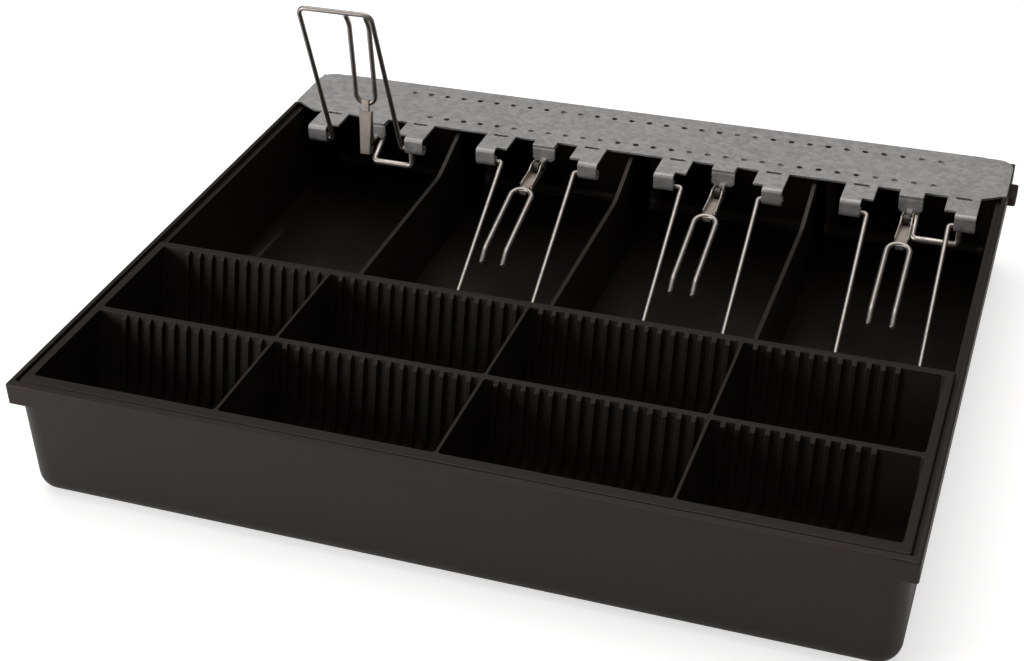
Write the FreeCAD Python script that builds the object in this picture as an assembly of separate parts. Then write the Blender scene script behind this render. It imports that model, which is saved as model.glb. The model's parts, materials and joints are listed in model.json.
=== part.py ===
import FreeCAD, Part
import math
import os

os.makedirs("parts", exist_ok=True)

# Frame: millimetres, x to the right, y to the rear, z up, origin under the middle of the base.
# Lengths named *_back are measured from the front edge of the rim towards the rear, those named
# *_in from the rear edge towards the front, and those named *_below down from the top of the rim.

# tray
rim_across = 370.0
depth = 320.0
height = 55.0
wall_lean = 0.8
side_wall = 2.2
end_wall = 3.7
rim_wide = 2.4
floor_thick = 3.0
rear_flange_room = 1.4
seat_bevel = 0.8
lip_out = 2.6
lip_high = 9.4
lip_corner = 1.2
lip_edge_round = 0.8
ledge_below = 3.0
ledge_corner = 1.5
rim_end_in = 41.0
body_corner = 10.0
body_base_round = 9.0
inside_corner = 8.0
inside_base_round = 6.5
ear_out = 3.5
ear_root = 1.0
ear_start_in = 30.5
ear_end_in = 17.0
ear_below = 4.5
ear_round = 1.5
cut_over = 1.0

# coin tray
coin_front_gap = 0.35
coin_flank_gap = 1.5
coin_lift = 0.3
coin_side_gap = 0.5
coin_corner = 1.4
coin_rim = 5.6
coin_flank_rim = 4.0
coin_rear_back = 124.6
coin_rear_band = 4.2
coin_mid_back = 64.2
coin_mid_wall = 2.9
coin_wall = 1.3
cup_skin = 1.2
cup_pitch_more = 1.4
cup_floor_up = 8.0
cup_corner = 1.4
cup_draft = 0.5
cup_near_round = 6.0
cup_scoop = 13.0
cup_scoop_round = 26.0
ribs_a_cup = 16
rib_wide = 2.1
rib_proud = 1.7
rib_bevel = 1.5
rib_top_proud = 0.2
rib_foot_up = 16.0
rib_free_left = 8.0
rib_free_right = 14.0

# steel plate
sheet = 1.2
plate_side_gap = 0.5
plate_front_in = 46.4
plate_rear_gap = 0.6
plate_corner_long = 13.0
plate_corner_deep = 7.8
plate_rear_corner = 8.0
rear_flange_down = 8.0
rear_flange_inset = 14.0
rear_flange_lap = 2.0
bend_mid = 1.4
holes_a_bay = 10
hole_dia = 3.0
grid_shift = 2.2
front_row_in = 37.9
front_row_first = -12
rear_row_in = 12.2
rear_row_first = -14
rows_last = 16
slot_long = 7.8
slot_wide = 2.2
slot_end_round = 1.0
slot_in = 47.4

# clips
clip_shifts = [2.0, 2.0, 2.1, 0.8]
bail_plays = [0.0, 0.4, 1.0, 0.4]
fork_plays = [0.3, 0.3, 0.2, 0.3]
axis_in = 62.6
axis_below = 6.7
run_fit = 0.05
tab_out = 31.7
tab_in = 16.6
lug_in = 21.9
lug_curl = 240.0
tab_flat_in = 60.4
tab_lap = 1.0
centre_tab_half = 5.7
centre_tab_over = 0.4
slot_mid = 24.2

# brackets under the plate, one for each clip's fork
bracket_sheet = 1.2
bracket_half = 28.0
bracket_front_in = 43.0
bracket_bar_in = 33.0
bracket_stem_half = 9.0
bracket_stem_in = 8.0
bracket_corner = 2.0
face_in = 51.2
face_high = 9.0
face_bend = 0.9
face_bottom_cut = 1.6
tongue_half = 1.3
tongue_curl = 265.0

bail_wire = 1.2
bail_arm = 19.1
bail_reach = 87.0
bail_end = 30.2
bail_knee = 1.5
bail_corner = 4.0
bail_rest_gap = 1.6
bail_up = 72.0

fork_wire = 1.3
fork_half = 5.3
fork_root = 21.5
fork_root_below = 1.9
fork_slope = 14.1
fork_bend_out = 64.0
fork_tip_slope = 41.5
fork_tip_long = 6.8
fork_tip_bend = 7.0
fork_root_bend = 5.1
fork_up = 100.8
arm_sheet = 0.6
arm_inside = 1.9
arm_inside_end = 2.7
arm_low = 3.2
arm_tail = 5.2
arm_tail_high = 0.4
arm_ear = 2.6
arm_ear_top = 2.4
arm_side_start = 6.0
arm_side_top = 0.6
arm_side_end = 17.5
arm_end_top = 0.9
cradle_half = 1.9
cradle_behind = 4.0
cradle_over = 0.3
pin_radius = 1.0
pin_head = 1.6
pin_head_thick = 0.5

# stays under the first and the last clip
stay_wire = 1.4
stay_left = 3.2
stay_right = 24.6
stay_below = 16.5
stay_bend = 2.4
stay_knee_drop = 3.4

# note dividers
divider_thick = 2.0
divider_front_back = 126.0
divider_kink_in = 75.0
divider_kink_round = 30.0
divider_low_below = 13.5
divider_pad_in = 40.4
divider_rear_in = 10.6
divider_foot_cut = 6.0
divider_groove = 1.0
divider_fit = 0.1
peg_fit = 0.05
peg_root = 0.5

half = rim_across / 2
front = -depth / 2
rear = depth / 2
rear_out = rear - rear_flange_room
bay_pitch = rim_across / 4
cup_pitch = bay_pitch + cup_pitch_more
hole_pitch = bay_pitch / holes_a_bay
axis_y = rear - axis_in
axis_z = height - axis_below
clip_mids = [bay_pitch * (i - 1.5) + grid_shift + clip_shifts[i] for i in range(4)]
clip_raised = [True, False, False, False]
divider_mids = [bay_pitch * (i - 1) + grid_shift for i in range(3)]
bail_drop = axis_z - floor_thick - bail_rest_gap - bail_wire
bail_down = math.degrees(math.asin(bail_drop / bail_reach))
ACROSS = FreeCAD.Vector(1, 0, 0)
UP = FreeCAD.Vector(0, 0, 1)


def vec(x, y, z):
    return FreeCAD.Vector(x, y, z)


def box(x0, x1, y0, y1, z0, z1):
    return Part.makeBox(x1 - x0, y1 - y0, z1 - z0, vec(x0, y0, z0))


def polygon_face(points):
    return Part.Face(Part.makePolygon(points + points[:1]))


def side_prism(outline, x0, x1):
    """Block with a given outline of (y, z) points, running from x0 to x1."""
    return polygon_face([vec(x0, y, z) for y, z in outline]).extrude(vec(x1 - x0, 0, 0))


def tapered(top, bottom, z0, z1):
    """Block between a lower and an upper rectangle, each given as x0, x1, y0, y1."""
    def ring(r, z):
        return [vec(r[0], r[2], z), vec(r[1], r[2], z), vec(r[1], r[3], z), vec(r[0], r[3], z)]
    low = ring(bottom, z0)
    high = ring(top, z1)
    faces = [polygon_face(low[::-1]), polygon_face(high)]
    for i in range(4):
        j = (i + 1) % 4
        faces.append(polygon_face([low[i], low[j], high[j], high[i]]))
    shell = Part.Shell(faces)
    shell.sewShape()
    return Part.Solid(shell)


def rising_edges(shape, least=1.0):
    return [e for e in shape.Edges if abs(e.Vertexes[0].Z - e.Vertexes[-1].Z) > least]


def edges_at(shape, z):
    return [e for e in shape.Edges if all(abs(v.Z - z) < 1e-5 for v in e.Vertexes)]


def rounded_block(top, bottom, z0, z1, corner, base):
    block = tapered(top, bottom, z0, z1)
    block = block.makeFillet(corner, rising_edges(block))
    return block.makeFillet(base, edges_at(block, z0))


def lean_at(z):
    return wall_lean * (height - z) / height


def leaning(x, y0, y1, z0, z1, corner, base):
    """Block, symmetrical across, whose walls all lean in like those of the tray."""
    a = lean_at(z1)
    b = lean_at(z0)
    top = (-x + a, x - a, y0 + a, y1 - a)
    bottom = (-x + b, x - b, y0 + b, y1 - b)
    return rounded_block(top, bottom, z0, z1, corner, base)


def strip(start, heading, moves, thick, x0, x1):
    """Bent sheet. The middle of its section starts at (y, z), heads at an angle from +y towards +z,
    and makes moves: ("go", length) or ("turn", radius, degrees), where left turns are positive."""
    y, z = start
    a = math.radians(heading)
    sides = {1: [], -1: []}

    def at(cy, cz, angle, r):
        return vec(x0, cy + r * math.cos(angle), cz + r * math.sin(angle))

    for move in moves:
        if move[0] == "go":
            y2 = y + move[1] * math.cos(a)
            z2 = z + move[1] * math.sin(a)
            for s in sides:
                off = s * thick / 2
                dy = -off * math.sin(a)
                dz = off * math.cos(a)
                sides[s].append(Part.makeLine(vec(x0, y + dy, z + dz), vec(x0, y2 + dy, z2 + dz)))
            y, z = y2, z2
        else:
            r = move[1]
            t = math.radians(move[2])
            way = 1 if t > 0 else -1
            cy = y - way * r * math.sin(a)
            cz = z + way * r * math.cos(a)
            first = math.atan2(z - cz, y - cy)
            for s in sides:
                rs = r - way * s * thick / 2
                p = [at(cy, cz, first + t * k, rs) for k in (0, 0.5, 1)]
                sides[s].append(Part.Arc(*p).toShape())
            y = cy + r * math.cos(first + t)
            z = cz + r * math.sin(first + t)
            a += t
    left = sides[1]
    right = sides[-1]
    ends = [Part.makeLine(left[0].Vertexes[0].Point, right[0].Vertexes[0].Point),
            Part.makeLine(left[-1].Vertexes[-1].Point, right[-1].Vertexes[-1].Point)]
    outline = Part.Wire(Part.__sortEdges__(left + right + ends))
    return Part.Face(outline).extrude(vec(x1 - x0, 0, 0))


def bent_path(points, radii):
    """Edges of a path through points, each inner corner rounded with its radius."""
    edges = []
    here = points[0]
    for i in range(1, len(points) - 1):
        into = (points[i] - points[i - 1]).normalize()
        out = (points[i + 1] - points[i]).normalize()
        turn = into.getAngle(out)
        reach = radii[i - 1] * math.tan(turn / 2)
        a = points[i] - into * reach
        b = points[i] + out * reach
        inward = (out - into).normalize()
        middle = points[i] + inward * (radii[i - 1] / math.cos(turn / 2) - radii[i - 1])
        edges.append(Part.makeLine(here, a))
        edges.append(Part.Arc(a, middle, b).toShape())
        here = b
    edges.append(Part.makeLine(here, points[-1]))
    return edges


def rod(points, radii, radius):
    """Round wire bent along a path."""
    path = Part.Wire(bent_path(points, radii))
    away = (points[1] - points[0]).normalize()
    section = Part.Wire(Part.makeCircle(radius, points[0], away))
    return path.makePipeShell([section], True, False)


def fused(shapes):
    return shapes[0].multiFuse(shapes[1:]).removeSplitter()


def placed(shape, mid, lift):
    """Turn a clip piece up about the axis by `lift` degrees and set it at its clip."""
    turned = shape.copy()
    turned.rotate(vec(0, 0, 0), ACROSS, -lift)
    turned.translate(vec(mid, axis_y, axis_z))
    return turned


def rim_block():
    """Lip round the rim, its front and rear flush with the leaning walls."""
    low = height - lip_high
    lean = lean_at(low)
    lip = tapered((-half, half, front, rear_out), (-half, half, front + lean, rear_out - lean), low, height)
    lip = lip.makeFillet(lip_corner, rising_edges(lip))
    return lip.makeFillet(lip_edge_round, edges_at(lip, height))


def till_tray():
    outer = leaning(half - lip_out, front, rear_out, 0, height, body_corner, body_base_round)
    ears = []
    for side in (-1, 1):
        x = sorted((side * (half - ear_root), side * (half + ear_out)))
        ear = box(x[0], x[1], rear - ear_start_in, rear - ear_end_in,
                  height - lip_high, height - ear_below)
        outside = [e for e in rising_edges(ear) if abs(e.Vertexes[0].X) > half]
        ears.append(ear.makeFillet(ear_round, outside))
    solid = outer.multiFuse([rim_block()] + ears)

    cuts = [leaning(half - lip_out - side_wall, front + end_wall, rear_out - end_wall,
                    floor_thick, height + cut_over, inside_corner, inside_base_round)]
    ledge = box(-half + rim_wide, half - rim_wide, front + end_wall, rear_out - end_wall,
                height - ledge_below, height + cut_over)
    cuts.append(ledge.makeFillet(ledge_corner, rising_edges(ledge)))
    seat = height - sheet
    over = half + cut_over
    cuts.append(box(-over, over, rear - rim_end_in, rear_out + cut_over, seat, height + cut_over))
    cuts.append(side_prism([(rear_out - seat_bevel, seat), (rear_out, seat - seat_bevel),
                            (rear_out + cut_over, seat - seat_bevel), (rear_out + cut_over, seat + cut_over),
                            (rear_out - seat_bevel, seat + cut_over)], -over, over))
    foot_end = rear - divider_rear_in - divider_foot_cut + divider_groove
    for mid in divider_mids:
        wide = divider_thick / 2 + divider_fit
        cuts.append(box(mid - wide, mid + wide, front + divider_front_back - divider_fit,
                        foot_end + divider_fit, floor_thick - divider_groove, floor_thick + cut_over))
    return solid.cut(cuts).removeSplitter()


def cup_bounds():
    """Top openings of the eight cups as x0, x1, y0, y1."""
    side = half - rim_wide - coin_flank_gap - coin_flank_rim
    stops = [-side, -cup_pitch, 0, cup_pitch, side]
    rows = [(front + end_wall + coin_front_gap + coin_rim, front + coin_mid_back - coin_mid_wall / 2),
            (front + coin_mid_back + coin_mid_wall / 2, front + coin_rear_back - coin_rear_band)]
    cups = []
    for y0, y1 in rows:
        for i in range(4):
            x0 = stops[i] + (coin_wall / 2 if i > 0 else 0)
            x1 = stops[i + 1] - (coin_wall / 2 if i < 3 else 0)
            cups.append((x0, x1, y0, y1))
    return cups


def cup_form(bounds, skin, over):
    """A cup's hollow, or with a skin its outside: a scoop drawn from front to rear, rounded along
    both sides and ending at a height over the rim."""
    x0, x1, y0, y1 = bounds
    floor = cup_floor_up - skin
    top = height + over
    drop = height - cup_floor_up
    draft = cup_draft * over / drop
    scoop = cup_scoop * over / drop
    points = [vec(0, y0 - skin - draft, top), vec(0, y0 - skin + cup_draft, floor),
              vec(0, y1 + skin - cup_scoop, floor), vec(0, y1 + skin + scoop, top)]
    path = bent_path(points, [cup_near_round + skin, cup_scoop_round + skin])
    outline = Part.Wire(path + [Part.makeLine(points[-1], points[0])])
    scooped = Part.Face(outline).extrude(vec(rim_across, 0, 0))
    scooped.translate(vec(-half, 0, 0))
    left = lean_at(cup_floor_up) if x0 < -cup_pitch * 1.5 else cup_draft
    right = lean_at(cup_floor_up) if x1 > cup_pitch * 1.5 else cup_draft
    y = (front, front + coin_rear_back + cup_scoop)
    wide = (x0 - skin - left * over / drop, x1 + skin + right * over / drop) + y
    narrow = (x0 - skin + left, x1 + skin - right) + y
    form = scooped.common(tapered(wide, narrow, floor, top))
    ends = [e for e in form.Edges if abs(e.Vertexes[0].X - e.Vertexes[-1].X) < 3 * cup_corner
            and not all(abs(v.Z - top) < 1e-5 for v in e.Vertexes)]
    return form.makeFillet(cup_corner + skin, ends)


def cup_ribs(bounds):
    """Upright ribs on the far wall of a cup, on one pitch with the dividers, bevelled at the top
    and running out into the scoop."""
    x0, x1, y0, y1 = bounds
    pitch = cup_pitch / ribs_a_cup
    left = x0 + (rib_free_left if x0 < -cup_pitch * 1.5 else rib_wide)
    right = x1 - (rib_free_right if x1 > cup_pitch * 1.5 else rib_wide)
    lean = cup_scoop / (height - cup_floor_up)
    foot = y1 - lean * (height - rib_foot_up)
    brow = y1 - lean * rib_bevel
    outline = [(y1 + cup_skin, height), (y1 - rib_top_proud, height), (brow - rib_proud, height - rib_bevel),
               (foot - rib_proud, rib_foot_up), (foot + cup_skin, rib_foot_up)]
    ribs = []
    for k in range(-2 * ribs_a_cup, 2 * ribs_a_cup + 1):
        x = k * pitch
        if left < x < right:
            ribs.append(side_prism(outline, x - rib_wide / 2, x + rib_wide / 2))
    return ribs


def coin_tray():
    y0 = front + end_wall + coin_front_gap
    y1 = front + coin_rear_back
    z0 = floor_thick + inside_base_round
    flange_low = height - ledge_below + coin_lift
    edge = half - rim_wide - coin_flank_gap
    flange = box(-edge, edge, y0, y1, flange_low, height)
    flange = flange.makeFillet(coin_corner, rising_edges(flange))
    flange = flange.makeFillet(lip_edge_round, edges_at(flange, height))
    side = half - lip_out - side_wall - coin_side_gap
    a = lean_at(z0)
    b = lean_at(flange_low)
    back = tapered((-side + b, side - b, y1 - cup_skin, y1), (-side + a, side - a, y1 - cup_skin, y1),
                   z0, flange_low + cut_over)
    cups = cup_bounds()
    shells = [cup_form(c, cup_skin, -cut_over) for c in cups]
    body = flange.multiFuse([back] + shells)
    body = body.cut([cup_form(c, 0, cut_over) for c in cups])
    ribs = []
    for c in cups:
        ribs += cup_ribs(c)
    return body.multiFuse(ribs).removeSplitter()


def plate_blank():
    z0 = height - sheet
    x = half - plate_side_gap
    y0 = rear - plate_front_in
    y1 = rear_out - plate_rear_gap
    points = [vec(-x + plate_corner_long, y0, z0), vec(x - plate_corner_long, y0, z0),
              vec(x, y0 + plate_corner_deep, z0), vec(x, y1, z0), vec(-x, y1, z0),
              vec(-x, y0 + plate_corner_deep, z0)]
    blank = polygon_face(points).extrude(UP * sheet)
    rear_corners = [e for e in rising_edges(blank, sheet / 2) if e.Vertexes[0].Y > y1 - sheet]
    blank = blank.makeFillet(plate_rear_corner, rear_corners)
    start = y1 - rear_flange_lap
    run = rear - sheet / 2 - bend_mid - start
    flange_x = x - rear_flange_inset
    flange = strip((start, height - sheet / 2), 0,
                   [("go", run), ("turn", bend_mid, -90), ("go", rear_flange_down - bend_mid)],
                   sheet, -flange_x, flange_x)
    return blank.fuse(flange)


def clip_tabs(mid):
    """Sheet tabs of one clip: two outer lugs curled round the bail, and a flat tab between them."""
    z = height - sheet / 2
    start = rear - plate_front_in + tab_lap
    tabs = []
    curl = bail_wire + run_fit + sheet / 2
    face = axis_y - curl
    moves = [("go", start - face - bend_mid), ("turn", bend_mid, 90),
             ("go", z - bend_mid - axis_z), ("turn", curl, lug_curl)]
    for side in (-1, 1):
        x = sorted((mid + side * lug_in, mid + side * tab_out))
        tabs.append(strip((start, z), 180, moves, sheet, x[0], x[1]))
        x = sorted((mid + side * tab_in, mid + side * lug_in))
        tabs.append(box(x[0], x[1], rear - tab_flat_in, start, height - sheet, height))
    end = rear - face_in - bracket_sheet / 2 - centre_tab_over
    tabs.append(box(mid - centre_tab_half, mid + centre_tab_half, end, start, height - sheet, height))
    return tabs


def clip_bracket(mid):
    """Flat T under the plate, folded down in front, where a tongue curls round the fork's pin."""
    top = height - sheet
    low = top - bracket_sheet
    front_y = rear - bracket_front_in
    bar = box(mid - bracket_half, mid + bracket_half, front_y, rear - bracket_bar_in, low, top)
    bar = bar.makeFillet(bracket_corner, rising_edges(bar, bracket_sheet / 2))
    stem = box(mid - bracket_stem_half, mid + bracket_stem_half, front_y, rear - bracket_stem_in, low, top)
    stem = stem.makeFillet(bracket_corner, rising_edges(stem, bracket_sheet / 2))
    z = top - bracket_sheet / 2
    start = front_y + tab_lap
    face = rear - face_in
    moves = [("go", start - face - face_bend), ("turn", face_bend, 90),
             ("go", face_high - sheet - bracket_sheet / 2 - face_bend)]
    fold = strip((start, z), 180, moves, bracket_sheet, mid - centre_tab_half, mid + centre_tab_half)
    knuckle = pin_radius + run_fit + bracket_sheet / 2
    moves = [("go", z - face_bend - (axis_z - knuckle) - bend_mid), ("turn", bend_mid, -90),
             ("go", face - bend_mid - axis_y), ("turn", knuckle, -tongue_curl)]
    tongue = strip((face, z - face_bend), 270, moves, bracket_sheet, mid - tongue_half, mid + tongue_half)
    return fused([bar, stem, fold.cut(bottom_cuts(mid)), tongue])


def bottom_cuts(mid):
    """Corners taken off the lower edge of a bracket's face."""
    bottom = height - face_high
    cuts = []
    for side in (-1, 1):
        x = mid + side * centre_tab_half
        inner = x - side * face_bottom_cut
        outer = x + side * cut_over
        points = [vec(inner, axis_y, bottom - cut_over), vec(outer, axis_y, bottom - cut_over),
                  vec(outer, axis_y, bottom + face_bottom_cut), vec(x, axis_y, bottom + face_bottom_cut),
                  vec(inner, axis_y, bottom)]
        cuts.append(polygon_face(points).extrude(vec(0, rear - axis_y, 0)))
    return cuts


def perforations():
    """Two rows of holes and a slot at the root of each outer tab."""
    holes = []
    z = height - sheet - cut_over
    for row_in, first in ((rear_row_in, rear_row_first), (front_row_in, front_row_first)):
        for k in range(first, rows_last + 1):
            at = vec(grid_shift + k * hole_pitch, rear - row_in, z)
            holes.append(Part.makeCylinder(hole_dia / 2, sheet + 2 * cut_over, at))
    for mid in clip_mids:
        for side in (-1, 1):
            x = mid + side * slot_mid
            y = rear - slot_in
            slot = box(x - slot_long / 2, x + slot_long / 2, y - slot_wide / 2, y + slot_wide / 2,
                       z, height + cut_over)
            holes.append(slot.makeFillet(slot_end_round, rising_edges(slot)))
    return holes


def clip_plate():
    pieces = [plate_blank()]
    for mid in clip_mids:
        pieces += clip_tabs(mid)
    return fused(pieces).cut(perforations())


def bail():
    """Outer wire of a clip, lying level, its axis along x through the origin."""
    points = [vec(-bail_end, 0, 0), vec(-bail_arm, 0, 0), vec(-bail_arm, -bail_reach, 0),
              vec(bail_arm, -bail_reach, 0), vec(bail_arm, 0, 0), vec(bail_end, 0, 0)]
    return rod(points, [bail_knee, bail_corner, bail_corner, bail_knee], bail_wire)


def fork_points():
    """Path of the fork wire, from one tip round the root to the other, as lying at rest."""
    s = math.tan(math.radians(fork_slope))
    knee_z = -fork_root_below - (fork_bend_out - fork_root) * s
    t = math.radians(fork_tip_slope)
    tip_y = -fork_bend_out - fork_tip_long * math.cos(t)
    tip_z = knee_z - fork_tip_long * math.sin(t)
    right = [vec(fork_half, -fork_root, -fork_root_below), vec(fork_half, -fork_bend_out, knee_z),
             vec(fork_half, tip_y, tip_z)]
    left = [vec(-p.x, p.y, p.z) for p in reversed(right)]
    return left + right


def fork():
    points = fork_points()
    wire = rod(points, [fork_tip_bend, fork_root_bend, fork_root_bend, fork_tip_bend], fork_wire)
    tips = [Part.makeSphere(fork_wire, points[0]), Part.makeSphere(fork_wire, points[-1])]
    return wire.multiFuse(tips).removeSplitter()


def plan_prism(near_half, far_half):
    """Tall block that widens from the arm's tail to the end of its sides."""
    outline = [(arm_tail, near_half), (-arm_side_end, far_half),
               (-arm_side_end, -far_half), (arm_tail, -near_half)]
    points = [vec(x, y, -2 * arm_low) for y, x in outline]
    return polygon_face(points).extrude(UP * 4 * arm_low)


def fork_arm(wire):
    """Folded sheet trough that turns on the pin, widens forwards and ends in a cradle for the wire."""
    toe = -fork_root - fork_wire
    toe_low = -fork_root_below - fork_wire - arm_sheet

    def low_at(y):
        return -arm_low + (toe_low + arm_low) * (y + arm_side_start) / (toe + arm_side_start)

    end = -arm_side_end
    cheek = [(arm_tail, -arm_low), (arm_tail, arm_tail_high), (arm_ear, arm_ear_top),
             (-arm_ear, arm_ear_top), (-arm_side_start, arm_side_top), (end, -arm_end_top),
             (end, low_at(end)), (-arm_side_start, -arm_low)]
    floor = [(arm_tail, -arm_low), (-arm_side_start, -arm_low), (end, low_at(end)),
             (end, low_at(end) + arm_sheet), (-arm_side_start, arm_sheet - arm_low),
             (arm_tail, arm_sheet - arm_low)]
    tongue = [(end + arm_sheet, low_at(end + arm_sheet)), (toe, toe_low), (toe, toe_low + arm_sheet),
              (end + arm_sheet, low_at(end + arm_sheet) + arm_sheet)]
    wide = arm_inside_end + arm_sheet
    plan = plan_prism(arm_inside + arm_sheet, wide)
    cheeks = side_prism(cheek, -wide, wide).common(plan).cut(plan_prism(arm_inside, arm_inside_end))
    cradle = box(-cradle_half, cradle_half, toe - arm_sheet, cradle_behind - fork_root,
                 toe_low, cradle_over - fork_root_below)
    pieces = [cheeks, side_prism(floor, -wide, wide).common(plan),
              side_prism(tongue, -cradle_half, cradle_half), cradle]
    arm = fused(pieces)
    bore = Part.makeCylinder(pin_radius, 4 * wide, vec(-2 * wide, 0, 0), ACROSS)
    return arm.cut([wire, bore]).removeSplitter()


def fork_pin():
    widening = (arm_inside_end - arm_inside) * (arm_tail + pin_head) / (arm_tail + arm_side_end)
    wide = arm_inside + arm_sheet + widening
    shaft = Part.makeCylinder(pin_radius, 2 * wide, vec(-wide, 0, 0), ACROSS)
    heads = []
    for x in (-wide - pin_head_thick, wide):
        head = Part.makeCylinder(pin_head, pin_head_thick, vec(x, 0, 0), ACROSS)
        heads.append(head)
    return shaft.multiFuse(heads).removeSplitter()


def stay(mid):
    """Bent wire welded under a bracket, reaching down between the face and the right lug."""
    x0 = mid + stay_left
    x1 = mid + stay_right
    back = rear - face_in + bracket_sheet / 2 + stay_wire
    low = height - stay_below
    under_lug = axis_z - bail_wire - run_fit - sheet
    points = [vec(x0, back, height - sheet - bracket_sheet), vec(x0, back, axis_z - stay_knee_drop),
              vec(x0, axis_y, low), vec(x1, axis_y, low), vec(x1, axis_y, under_lug)]
    return rod(points, [stay_bend, stay_bend, stay_bend], stay_wire)


def note_divider(mid):
    z_low = height - divider_low_below
    top = height - sheet
    end = rear - divider_rear_in
    foot = floor_thick - divider_groove
    x0 = mid - divider_thick / 2
    start = front + divider_front_back
    pad = rear - divider_pad_in
    step = [vec(x0, y, z) for y, z in ((start, z_low), (rear - divider_kink_in, z_low), (pad, top))]
    foot_line = [vec(x0, y, z) for y, z in ((pad, top), (end, top), (end, foot + divider_foot_cut),
                                            (end - divider_foot_cut, foot), (start, foot),
                                            (start, z_low))]
    outline = Part.Wire(bent_path(step, [divider_kink_round]) + Part.makePolygon(foot_line).Edges)
    wall = Part.Face(outline).extrude(vec(divider_thick, 0, 0))
    pegs = []
    for row_in in (front_row_in, rear_row_in):
        at = vec(mid, rear - row_in, top - peg_root)
        pegs.append(Part.makeCylinder(hole_dia / 2 - peg_fit, sheet + peg_root, at))
    return wall.multiFuse(pegs).removeSplitter()


def export(name, shape):
    shape.exportStep("parts/" + name + ".step")
    print(name, len(shape.Solids), round(shape.Volume, 1), shape.isValid())


def main():
    export("till_tray", till_tray())
    export("coin_tray", coin_tray())
    export("clip_plate", clip_plate())
    for name, mid in zip(("left", "centre", "right"), divider_mids):
        export("note_divider_" + name, note_divider(mid))
    export("plate_stay_left", stay(clip_mids[0]))
    export("plate_stay_right", stay(clip_mids[3]))
    wire = fork()
    arm = fork_arm(wire)
    pin = fork_pin()
    outer = bail()
    for i, mid in enumerate(clip_mids):
        raised = clip_raised[i]
        number = str(i + 1)
        export("clip_bracket_" + number, clip_bracket(mid))
        export("bail_" + number, placed(outer, mid + bail_plays[i], bail_up if raised else -bail_down))
        lift = fork_up if raised else 0
        fork_mid = mid + fork_plays[i]
        export("fork_" + number, placed(wire, fork_mid, lift))
        export("fork_arm_" + number, placed(arm, fork_mid, lift))
        export("fork_pin_" + number, placed(pin, fork_mid, lift))


main()
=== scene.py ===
import bmesh
import bpy
import json
import math
import numpy as np
from mathutils import Matrix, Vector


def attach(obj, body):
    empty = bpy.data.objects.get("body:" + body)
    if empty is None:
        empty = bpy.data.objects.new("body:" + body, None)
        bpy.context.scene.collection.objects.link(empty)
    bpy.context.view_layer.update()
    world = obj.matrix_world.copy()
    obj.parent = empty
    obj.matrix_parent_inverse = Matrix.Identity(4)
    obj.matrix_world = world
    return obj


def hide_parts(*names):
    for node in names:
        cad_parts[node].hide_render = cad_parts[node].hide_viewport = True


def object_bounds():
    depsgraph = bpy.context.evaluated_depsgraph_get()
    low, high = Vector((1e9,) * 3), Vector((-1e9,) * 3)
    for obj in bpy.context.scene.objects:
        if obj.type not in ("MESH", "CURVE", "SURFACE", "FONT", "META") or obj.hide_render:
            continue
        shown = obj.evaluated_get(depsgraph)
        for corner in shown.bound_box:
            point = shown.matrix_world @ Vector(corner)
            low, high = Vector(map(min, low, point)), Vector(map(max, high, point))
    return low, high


MM = 0.001
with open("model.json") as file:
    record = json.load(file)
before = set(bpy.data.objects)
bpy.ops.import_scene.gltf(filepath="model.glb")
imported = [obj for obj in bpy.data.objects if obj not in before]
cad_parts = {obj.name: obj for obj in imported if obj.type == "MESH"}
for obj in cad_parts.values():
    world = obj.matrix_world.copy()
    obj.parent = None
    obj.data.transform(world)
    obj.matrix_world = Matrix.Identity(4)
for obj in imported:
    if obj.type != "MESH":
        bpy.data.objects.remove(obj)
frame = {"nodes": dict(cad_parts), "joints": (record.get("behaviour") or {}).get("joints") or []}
nodes = frame["nodes"]
cad_box = [list(corner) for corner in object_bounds()]

# Camera, placed from the photograph's rims, walls and hole rows: its place in metres, its turns in
# degrees, and its lens and sensor in millimetres.
CAMERA_AT = (0.21447, -0.65420, 0.45951)
CAMERA_YAW = 19.893
CAMERA_DOWN = 32.625
CAMERA_ROLL = -1.388
LENS = 62.458
SENSOR = 36.0


class Field:
    """A shader socket that can be calculated with: each operator adds a Math node to its material."""

    def __init__(self, paint, socket):
        self.paint = paint
        self.socket = socket

    def math(self, operation, *values, clamp=False):
        settings = {"operation": operation, "use_clamp": clamp}
        return self.paint.node("ShaderNodeMath", settings, dict(enumerate(values)))[0]

    def __add__(self, other):
        return self.math("ADD", self, other)

    def __radd__(self, other):
        return self.math("ADD", other, self)

    def __sub__(self, other):
        return self.math("SUBTRACT", self, other)

    def __rsub__(self, other):
        return self.math("SUBTRACT", other, self)

    def __mul__(self, other):
        return self.math("MULTIPLY", self, other)

    def __rmul__(self, other):
        return self.math("MULTIPLY", other, self)

    def __pow__(self, other):
        return self.math("POWER", self, other)

    def limited(self):
        """The value held between 0 and 1."""
        return self.math("ADD", self, 0.0, clamp=True)

    def rise(self, low, high):
        """0 below low, 1 above high, and a straight rise between them."""
        sockets = {"Value": self, "From Min": low, "From Max": high}
        return self.paint.node("ShaderNodeMapRange", {"clamp": True}, sockets)["Result"]


class Outputs:
    """The output sockets of one node, by name or number, each as a Field."""

    def __init__(self, paint, node):
        self.paint = paint
        self.node = node

    def __getitem__(self, key):
        return Field(self.paint, self.node.outputs[key])


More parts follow.
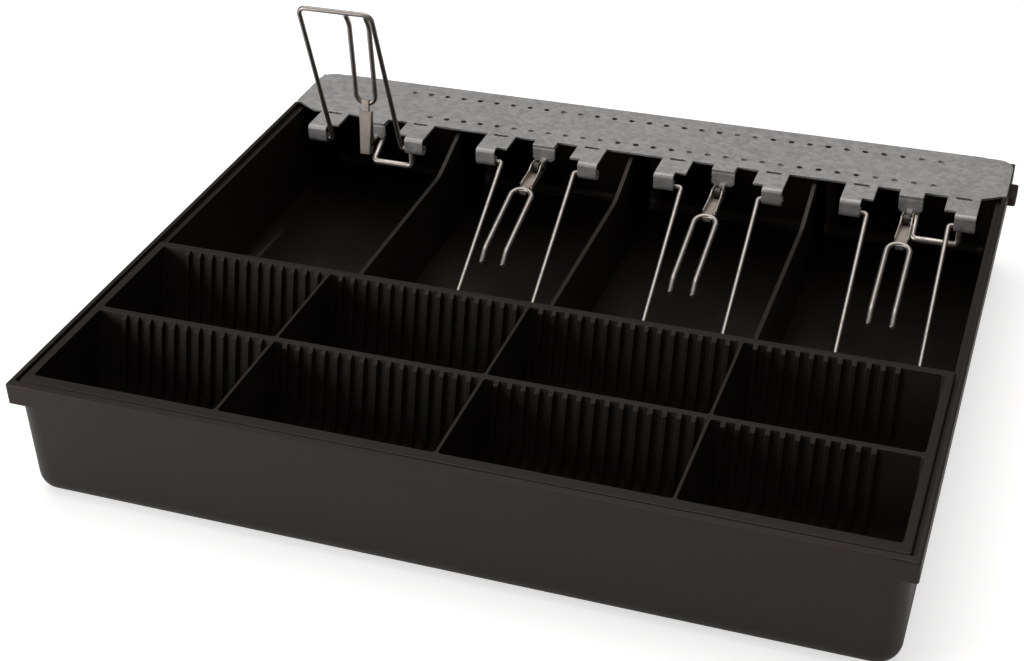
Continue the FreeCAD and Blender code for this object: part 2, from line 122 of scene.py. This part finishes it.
class Paint:
    """A node material under construction."""

    def __init__(self, name, tree=None):
        if tree is None:
            self.material = bpy.data.materials.new(name)
            self.material.use_nodes = True
            tree = self.material.node_tree
        self.tree = tree
        self.tree.nodes.clear()

    def node(self, kind, settings=None, sockets=None):
        """Adds a node: its settings first, then the values or links of its sockets."""
        node = self.tree.nodes.new(kind)
        for key, value in (settings or {}).items():
            setattr(node, key, value)
        for key, value in (sockets or {}).items():
            socket = node.inputs[key]
            if isinstance(value, Field):
                self.tree.links.new(value.socket, socket)
            else:
                socket.default_value = value
        return Outputs(self, node)

    def place(self):
        """Where a point lies, in metres."""
        return self.node("ShaderNodeTexCoord")["Object"]

    def noise(self, vector, scale, detail, roughness=0.5):
        """Soft clouds from 0 to 1: the scale is how many there are in a metre."""
        sockets = {"Vector": vector, "Scale": scale, "Detail": detail, "Roughness": roughness}
        return self.node("ShaderNodeTexNoise", None, sockets)["Fac"]

    def lines(self, vector, scales, detail, roughness=0.5, turn=(0.0, 0.0, 0.0)):
        """Noise with a scale of its own along each axis, turned, for marks that run one way."""
        sockets = {"Vector": vector, "Scale": scales, "Rotation": turn}
        stretched = self.node("ShaderNodeMapping", None, sockets)["Vector"]
        return self.noise(stretched, 1.0, detail, roughness)

    def cells(self, vector, scale):
        """Cells round scattered points: the distance to a cell's middle, and each cell's colour."""
        return self.node("ShaderNodeTexVoronoi", None, {"Vector": vector, "Scale": scale})

    def blend(self, factor, a, b):
        """Two colours mixed by a factor."""
        mixed = self.node("ShaderNodeMix", {"data_type": "RGBA"}, {0: factor, 6: a, 7: b})
        return mixed[2]

    def bump(self, height, distance, strength, normal=None):
        """A normal that follows a relief of that distance in metres, on top of a given normal."""
        sockets = {"Height": height, "Distance": distance, "Strength": strength}
        if normal is not None:
            sockets["Normal"] = normal
        return self.node("ShaderNodeBump", None, sockets)["Normal"]

    def soft_edges(self, radius):
        """The surface's normal, turned over each edge as if the edge had that radius."""
        return self.node("ShaderNodeBevel", {"samples": 6}, {"Radius": radius})["Normal"]

    def edge_mask(self, softened):
        """1 on an edge and 0 on a flat, from how far the softened normal leaves the true one."""
        true = self.node("ShaderNodeNewGeometry")["Normal"]
        product = {"operation": "DOT_PRODUCT"}
        dot = self.node("ShaderNodeVectorMath", product, {0: softened, 1: true})["Value"]
        return (1.0 - dot).rise(*EDGE_BAND)

    def part_of(self, vector, axis):
        """The X, Y or Z of a vector."""
        return self.node("ShaderNodeSeparateXYZ", None, {"Vector": vector})[axis]

    def finish(self, sockets):
        """The finished material, from the sockets of its principled shader."""
        shader = self.node("ShaderNodeBsdfPrincipled", None, sockets)
        self.node("ShaderNodeOutputMaterial", None, {"Surface": shader["BSDF"]})
        return self.material


def grey(value, warm=1.0):
    """A near-grey colour; warm over 1 leans it to brown."""
    return (value * warm, value, value / warm, 1.0)


# How far the softened normal leaves the true one where an edge begins, and where it is full.
EDGE_BAND = (0.01, 0.25)
# Roughness of the floors, which notes and coins have rubbed smoother than the grained walls and rims. A
# floor is what faces up, by its normal's z, and lies low, by its height in metres.
POLISHED = 0.24
LEVEL_BAND = (0.55, 0.95)
FLOOR_BAND = (0.008, 0.030)
# Over how many metres the painted shade on a bracket's front part fades out, and how far behind the clips'
# axis it ends.
PAINTED_SHADE_FADE = 0.002
PAINTED_SHADE_BEHIND = 0.009


def moulded_plastic(name, tone, warm, gloss, shine, edge_radius):
    """Black moulded plastic: fine pebbled grain, faint flow clouds, edges with a painted highlight and a
    smoother finish, and smoother floors. The gloss is its roughness, and the shine is the strength of what
    it mirrors."""
    p = Paint(name)
    at = p.place()
    clouds = p.noise(at, scale=14.0, detail=3.0)
    streaks = p.lines(at, (18.0, 5.0, 60.0), detail=4.0, roughness=0.6)
    grain = p.noise(at, scale=2600.0, detail=1.0)
    pebbles = p.cells(at, scale=1500.0)["Distance"]
    scuffs = p.lines(at, (900.0, 40.0, 300.0), detail=2.0, turn=(0.3, 0.2, 0.5)).rise(0.62, 0.8)
    softened = p.soft_edges(edge_radius)
    edge = p.edge_mask(softened)
    shade = (0.6 * clouds + 0.4 * streaks).rise(0.3, 0.7)
    colour = p.blend(shade, grey(tone * 0.80, warm), grey(tone * 1.22, warm))
    # Painted highlight: edges are lightened in colour as if they caught the light.
    colour = p.blend(edge * 0.55, colour, grey(tone * 2.6, warm))
    colour = p.blend(scuffs * 0.10, colour, grey(tone * 4.0, warm))
    rough = gloss + 0.24 * (clouds - 0.5) + 0.10 * (grain - 0.5) - 0.08 * edge + 0.06 * scuffs
    facing = p.part_of(p.node("ShaderNodeNewGeometry")["Normal"], "Z")
    height = p.part_of(at, "Z")
    polished = facing.rise(*LEVEL_BAND) * (1.0 - height.rise(*FLOOR_BAND))
    rough = rough - (gloss - POLISHED) * polished
    relief = (0.7 * pebbles + 0.3 * grain) * (1.0 - 0.7 * polished)
    normal = p.bump(relief, distance=0.00006, strength=0.5, normal=softened)
    normal = p.bump(clouds, distance=0.0006, strength=0.12, normal=normal)
    return p.finish({"Base Color": colour, "Roughness": rough, "Normal": normal, "IOR": 1.46,
                     "Specular Tint": (shine, shine * 0.84, shine * 0.73, 1.0)})


def zinc_sheet(name, tone, painted_shade_y=None):
    """Zinc-coated sheet steel: rolling lines along the sheet, fine crystal patches, duller handling marks,
    and a painted highlight on its edges. What lies in front of the given y line, in metres, is painted
    dark as shade."""
    p = Paint(name)
    at = p.place()
    rolled = p.lines(at, (25.0, 2600.0, 2600.0), detail=2.0, roughness=0.6)
    patches = p.cells(at, scale=430.0)["Color"]
    patch = p.node("ShaderNodeSeparateColor", None, {"Color": patches})["Red"]
    clouds = p.noise(at, scale=30.0, detail=3.0, roughness=0.6)
    marks = p.lines(at, (60.0, 700.0, 60.0), detail=3.0, turn=(0.0, 0.0, 0.35)).rise(0.60, 0.78)
    softened = p.soft_edges(radius=0.00035)
    edge = p.edge_mask(softened)
    frost = p.noise(at, scale=820.0, detail=2.0, roughness=0.7)
    shade = (0.20 * clouds + 0.25 * patch + 0.15 * rolled + 0.40 * frost).rise(0.30, 0.70)
    colour = p.blend(shade, grey(tone * 0.80, 1.01), grey(tone * 1.16, 1.02))
    colour = p.blend(marks * 0.25, colour, grey(tone * 0.78, 1.02))
    # Painted highlight: edges are lightened in colour as if they caught the light.
    colour = p.blend(edge * 0.5, colour, grey(tone * 1.5, 1.0))
    # Painted shade: the front of the bracket, under the plate's tab, is darkened in colour as if in
    # shadow.
    if painted_shade_y is not None:
        painted_shade = 1.0 - p.part_of(at, "Y").rise(painted_shade_y - PAINTED_SHADE_FADE, painted_shade_y)
        colour = p.blend(painted_shade, colour, grey(tone * 0.2, 1.1))
    rough = 0.60 + 0.10 * (clouds - 0.5) + 0.08 * (patch - 0.5) + 0.06 * marks - 0.10 * edge
    normal = p.bump(rolled, distance=0.00004, strength=0.30, normal=softened)
    normal = p.bump(clouds, distance=0.0004, strength=0.10, normal=normal)
    return p.finish({"Base Color": colour, "Roughness": rough, "Normal": normal, "Metallic": 0.85})


def plated_wire(name, tone, gloss):
    """Bright plated spring wire: drawing lines, small dull spots where it is handled. The gloss is its
    roughness where it isn't dull."""
    p = Paint(name)
    at = p.place()
    drawn = p.lines(at, (3000.0, 120.0, 3000.0), detail=2.0, roughness=0.6)
    spots = p.noise(at, scale=260.0, detail=3.0, roughness=0.6).rise(0.55, 0.75)
    colour = p.blend(spots * 0.5, grey(tone, 1.09), grey(tone * 0.62, 1.14))
    rough = gloss + 0.10 * drawn + 0.14 * spots
    normal = p.bump(drawn, distance=0.00002, strength=0.25)
    return p.finish({"Base Color": colour, "Roughness": rough, "Normal": normal, "Metallic": 1.0})


def folded_steel(name, tone, warm):
    """Plated sheet of the clip arms and pins: warmer and duller than the wire, with a painted highlight on
    its folds.
    """
    p = Paint(name)
    at = p.place()
    brushed = p.lines(at, (2200.0, 90.0, 2200.0), detail=3.0, roughness=0.6)
    clouds = p.noise(at, scale=180.0, detail=3.0, roughness=0.6)
    softened = p.soft_edges(radius=0.0003)
    edge = p.edge_mask(softened)
    colour = p.blend(clouds.rise(0.3, 0.7), grey(tone * 0.78, warm * 1.02), grey(tone * 1.12, warm))
    # Painted highlight: folds and edges are lightened in colour as if they caught the light.
    colour = p.blend(edge * 0.4, colour, grey(tone * 1.3, 1.05))
    rough = 0.44 + 0.12 * clouds + 0.08 * brushed - 0.08 * edge
    normal = p.bump(brushed, distance=0.00003, strength=0.3, normal=softened)
    return p.finish({"Base Color": colour, "Roughness": rough, "Normal": normal, "Metallic": 1.0})


def rounded_path(corners, radii, arc_steps=14):
    """Points of a line through corners: each inner corner becomes an arc of its radius, which touches both
    runs, at radius times the tangent of half the turn from the corner."""
    corners = np.array(corners, float)
    pieces = [corners[:1]]
    for i, radius in enumerate(radii, 1):
        into = corners[i] - corners[i - 1]
        out = corners[i + 1] - corners[i]
        into /= np.linalg.norm(into)
        out /= np.linalg.norm(out)
        turn = math.acos(float(np.clip(into @ out, -1, 1)))
        start = corners[i] - into * radius * math.tan(turn / 2)
        side = out - into * (into @ out)
        side /= np.linalg.norm(side)
        angle = np.linspace(0, turn, arc_steps)[:, None]
        pieces.append(start + radius * (np.sin(angle) * into + (1 - np.cos(angle)) * side))
    pieces.append(corners[-1:])
    return np.concatenate(pieces)


def refined(path, longest):
    """The path with its long runs divided, so that no step is over the longest."""
    steps = np.linalg.norm(np.diff(path, axis=0), axis=1)
    counts = np.maximum(1, np.ceil(steps / longest).astype(int))
    whole = np.concatenate([[0], np.cumsum(steps)])
    wanted = [np.linspace(whole[i], whole[i + 1], n, endpoint=False) for i, n in enumerate(counts)]
    wanted = np.concatenate(wanted + [whole[-1:]])
    return np.stack([np.interp(wanted, whole, path[:, k]) for k in range(3)], 1)


def swept_wire(path, radius, reference, sides=20, cap_steps=5):
    """Round wire: point (i, j) is path point i plus the radius times (cos a_j along one normal, sin a_j
    along the other), where the normals come from one reference direction. At both ends the radius follows
    a quarter circle down to the axis, so that the wire is closed by a half ball."""
    path = np.array(path, float)
    along = np.gradient(path, axis=0)
    along /= np.linalg.norm(along, axis=1, keepdims=True)
    tilt = np.linspace(math.pi / 2, 0, cap_steps, endpoint=False)
    start = path[0] - along[0] * radius * np.sin(tilt)[:, None]
    end = path[-1] + along[-1] * radius * np.sin(tilt[::-1])[:, None]
    middle = np.concatenate([start, path, end])
    before = np.repeat(along[:1], cap_steps, 0)
    after = np.repeat(along[-1:], cap_steps, 0)
    along = np.concatenate([before, along, after])
    size = np.concatenate([np.cos(tilt), np.ones(len(path)), np.cos(tilt[::-1])]) * radius
    first = np.array(reference, float) - along * (along @ np.array(reference, float))[:, None]
    first /= np.linalg.norm(first, axis=1, keepdims=True)
    second = np.cross(along, first)
    a = np.linspace(0, 2 * math.pi, sides, endpoint=False)
    ring = np.cos(a)[None, :, None] * first[:, None, :] + np.sin(a)[None, :, None] * second[:, None, :]
    return middle[:, None, :] + size[:, None, None] * ring


def turned(points, degrees):
    """Points turned about the x axis, so that a positive angle lifts what lies in front of the axis."""
    a = math.radians(-degrees)
    turn = np.array([[1, 0, 0], [0, math.cos(a), -math.sin(a)], [0, math.sin(a), math.cos(a)]])
    return points @ turn.T


def grid_piece(name, grid, material):
    """Mesh of a grid of points, closed round its second side. The pinched rows at its ends become one
    point each."""
    rows, cols = grid.shape[:2]
    i, j = np.meshgrid(np.arange(rows - 1), np.arange(cols), indexing="ij")
    k = (j + 1) % cols
    corners = [i * cols + j, i * cols + k, (i + 1) * cols + k, (i + 1) * cols + j]
    quads = np.stack(corners, -1).reshape(-1, 4)
    mesh = bpy.data.meshes.new(name)
    mesh.from_pydata((grid.reshape(-1, 3) * MM).tolist(), [], quads.tolist())
    piece = bpy.data.objects.new(name, mesh)
    bpy.context.scene.collection.objects.link(piece)
    work = bmesh.new()
    work.from_mesh(mesh)
    bmesh.ops.remove_doubles(work, verts=work.verts, dist=SAME_POINT)
    bmesh.ops.recalc_face_normals(work, faces=work.faces)
    work.to_mesh(mesh)
    work.free()
    mesh.polygons.foreach_set("use_smooth", [True] * len(mesh.polygons))
    mesh.materials.append(material)
    return piece


# The wires, in millimetres and degrees, as in the part: each clip is drawn level, with its axis along x. A
# bail runs from foot to foot round its two legs, and lies with its front bar one drop below the axis.
CLIPS = 4
BAIL_WIRE = 1.2
BAIL_FOOT = 30.2
BAIL_HALF = 19.1
BAIL_LONG = 87.0
BAIL_BENDS = [1.5, 4.0, 4.0, 1.5]
BAIL_DROP = 42.5
BAIL_DOWN = math.degrees(math.asin(BAIL_DROP / BAIL_LONG))
BAIL_UP = 72.0
BAIL = [(-BAIL_FOOT, 0, 0), (-BAIL_HALF, 0, 0), (-BAIL_HALF, -BAIL_LONG, 0),
        (BAIL_HALF, -BAIL_LONG, 0), (BAIL_HALF, 0, 0), (BAIL_FOOT, 0, 0)]
# A fork's tines slope down from its root to its knees, and its tips slope down more.
FORK_WIRE = 1.3
FORK_HALF = 5.3
FORK_ROOT_IN = 21.5
FORK_ROOT_DOWN = 1.9
FORK_KNEE_IN = 64.0
FORK_SLOPE = 14.1
FORK_TIP_LONG = 6.8
FORK_TIP_SLOPE = 41.5
FORK_BENDS = [7.0, 5.1, 5.1, 7.0]
FORK_UP = 100.8
KNEE_Z = -FORK_ROOT_DOWN - (FORK_KNEE_IN - FORK_ROOT_IN) * math.tan(math.radians(FORK_SLOPE))
TIP_Y = -FORK_KNEE_IN - FORK_TIP_LONG * math.cos(math.radians(FORK_TIP_SLOPE))
TIP_Z = KNEE_Z - FORK_TIP_LONG * math.sin(math.radians(FORK_TIP_SLOPE))
FORK = [(-FORK_HALF, TIP_Y, TIP_Z), (-FORK_HALF, -FORK_KNEE_IN, KNEE_Z),
        (-FORK_HALF, -FORK_ROOT_IN, -FORK_ROOT_DOWN), (FORK_HALF, -FORK_ROOT_IN, -FORK_ROOT_DOWN),
        (FORK_HALF, -FORK_KNEE_IN, KNEE_Z), (FORK_HALF, TIP_Y, TIP_Z)]
# The longest step of a wire's rings, and a direction that no run of a wire follows.
LONGEST_STEP = 3.0
ASIDE = (0.05, 0.27, 0.96)
# What lies this close, in metres, is one point.
SAME_POINT = 1e-6


def axis_of(body):
    """The hinge point of a body's joint, in millimetres."""
    joint = [j for j in frame["joints"] if j["child"] == body][0]
    return np.array(joint["pos_m"]) / MM


def clip_wires(wire):
    """The bail and the fork of each clip, as swept wire in place of the CAD nodes. The first is up."""
    bail_path = refined(rounded_path(BAIL, BAIL_BENDS), LONGEST_STEP)
    fork_path = refined(rounded_path(FORK, FORK_BENDS), LONGEST_STEP)
    for i in range(CLIPS):
        number = str(i + 1)
        raised = i == 0
        bail = ("bail_", bail_path, BAIL_WIRE, BAIL_UP if raised else -BAIL_DOWN)
        fork = ("fork_", fork_path, FORK_WIRE, FORK_UP if raised else 0.0)
        for kind, path, radius, lift in (bail, fork):
            body = kind + number
            grid = swept_wire(path, radius, ASIDE)
            grid = turned(grid, lift) + axis_of(body)
            piece = grid_piece(kind + "wire_" + number, grid, wire)
            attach(piece, body)
            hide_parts(body)


# The floor: half its side and its drop below the object in metres, its tone, and its own light as the
# camera sees it and as glossy surfaces mirror it.
FLOOR_HALF = 6.0
FLOOR_BELOW = 0.0002
FLOOR_TONE = 0.82
FLOOR_GLOW = 0.58
FLOOR_GLOW_MIRRORED = 0.15
# The sky's tint, and its light at the horizon and overhead, which rises with a power of the height.
SKY_WARM = 1.02
SKY_LOW = 0.05
SKY_HIGH = 0.95
SKY_CURVE = 4.0
# Each lamp's name, place and aim in metres, side in metres and power in watts.
LAMPS = [("front_lamp", (-1.15, -0.95, 0.36), (0.0, 0.0, 0.03), 0.66, 10.5),
         ("top_lamp", (-0.3, 0.45, 1.9), (0.0, 0.0, 0.0), 1.8, 15.0)]


def floor():
    """Pale floor that keeps the object's shadow."""
    half = FLOOR_HALF
    mesh = bpy.data.meshes.new("floor")
    low = cad_box[0][2] - FLOOR_BELOW
    mesh.from_pydata([(-half, -half, low), (half, -half, low), (half, half, low), (-half, half, low)],
                     [], [(0, 1, 2, 3)])
    ground = bpy.data.objects.new("floor", mesh)
    bpy.context.scene.collection.objects.link(ground)
    p = Paint("floor_paint")
    path = p.node("ShaderNodeLightPath")
    seen = (path["Is Camera Ray"] + path["Is Transmission Ray"]).limited()
    lit = p.node("ShaderNodeBsdfDiffuse", None, {"Color": grey(FLOOR_TONE)})
    strength = seen * FLOOR_GLOW + path["Is Glossy Ray"] * FLOOR_GLOW_MIRRORED
    glow = p.node("ShaderNodeEmission", None, {"Color": grey(1.0), "Strength": strength})
    both = p.node("ShaderNodeAddShader", None, {0: lit["BSDF"], 1: glow["Emission"]})
    p.node("ShaderNodeOutputMaterial", None, {"Surface": both["Shader"]})
    mesh.materials.append(p.material)


def sky():
    """White to the camera, and for all other rays dark at the horizon and bright overhead."""
    world = bpy.data.worlds.new("studio")
    bpy.context.scene.world = world
    world.use_nodes = True
    w = Paint("studio", world.node_tree)
    path = w.node("ShaderNodeLightPath")
    seen = (path["Is Camera Ray"] + path["Is Transmission Ray"]).limited()
    way = w.node("ShaderNodeTexCoord")["Generated"]
    height = w.part_of(way, "Z").limited()
    strength = SKY_LOW + (SKY_HIGH - SKY_LOW) * height ** SKY_CURVE
    dim = w.node("ShaderNodeBackground", None, {"Color": grey(1.0, SKY_WARM), "Strength": strength})
    white = w.node("ShaderNodeBackground", None, {"Color": grey(1.0), "Strength": 1.0})
    mixed = w.node("ShaderNodeMixShader", None, {0: seen, 1: dim["Background"], 2: white["Background"]})
    w.node("ShaderNodeOutputWorld", None, {"Surface": mixed["Shader"]})


def lamps():
    """A soft lamp near the front left, low down, and a large one overhead."""
    for name, at, aim, size, power in LAMPS:
        lamp = bpy.data.lights.new(name, "AREA")
        lamp.size = size
        lamp.energy = power
        holder = bpy.data.objects.new(name, lamp)
        bpy.context.scene.collection.objects.link(holder)
        way = np.array(aim) - np.array(at)
        yaw = math.atan2(way[0], way[1])
        down = math.atan2(-way[2], math.hypot(way[0], way[1]))
        turn = Matrix.Rotation(-yaw, 4, "Z") @ Matrix.Rotation(math.pi / 2 - down, 4, "X")
        holder.matrix_world = Matrix.Translation(at) @ turn


def camera():
    """The camera at the photograph's view."""
    data = bpy.data.cameras.new("camera")
    data.sensor_fit = "HORIZONTAL"
    data.sensor_width = SENSOR
    data.lens = LENS
    holder = bpy.data.objects.new("camera", data)
    bpy.context.scene.collection.objects.link(holder)
    turn = (Matrix.Rotation(math.radians(CAMERA_YAW), 4, "Z")
            @ Matrix.Rotation(math.radians(90 - CAMERA_DOWN), 4, "X")
            @ Matrix.Rotation(math.radians(CAMERA_ROLL), 4, "Z"))
    holder.matrix_world = Matrix.Translation(CAMERA_AT) @ turn
    bpy.context.scene.camera = holder


def dress(names, material):
    """Gives the CAD nodes of these names their material."""
    for name in names:
        mesh = nodes[name].data
        mesh.materials.clear()
        mesh.materials.append(material)


def main():
    tray = moulded_plastic("tray_moulding", tone=0.0095, warm=1.17, gloss=0.46, shine=1.0,
                           edge_radius=0.0006)
    coin = moulded_plastic("coin_tray_moulding", tone=0.0065, warm=1.12, gloss=0.52, shine=0.85,
                           edge_radius=0.0005)
    walls = moulded_plastic("divider_moulding", tone=0.0060, warm=1.10, gloss=0.50, shine=0.90,
                            edge_radius=0.0004)
    sheet = zinc_sheet("zinc_sheet", tone=0.47)
    # The bracket gets painted shade in front of a line just behind the clips' axis.
    bracket = zinc_sheet("bracket_zinc", tone=0.52, painted_shade_y=axis_of("fork_1")[1] * MM + PAINTED_SHADE_BEHIND)
    wire = plated_wire("plated_wire", tone=0.39, gloss=0.34)
    dull = plated_wire("stay_wire", tone=0.74, gloss=0.42)
    arm = folded_steel("clip_arm_steel", tone=0.44, warm=1.12)
    pin = folded_steel("clip_pin_steel", tone=0.13, warm=1.06)
    dress(["till_tray"], tray)
    dress(["coin_tray"], coin)
    dress([n for n in nodes if n.startswith("note_divider")], walls)
    dress(["clip_plate"], sheet)
    dress([n for n in nodes if n.startswith("clip_bracket")], bracket)
    dress([n for n in nodes if n.startswith("plate_stay")], dull)
    dress([n for n in nodes if n.startswith("fork_arm")], arm)
    dress([n for n in nodes if n.startswith("fork_pin")], pin)
    clip_wires(wire)
    floor()
    sky()
    lamps()
    camera()


main()
bpy.context.scene.view_settings.view_transform = "Standard"
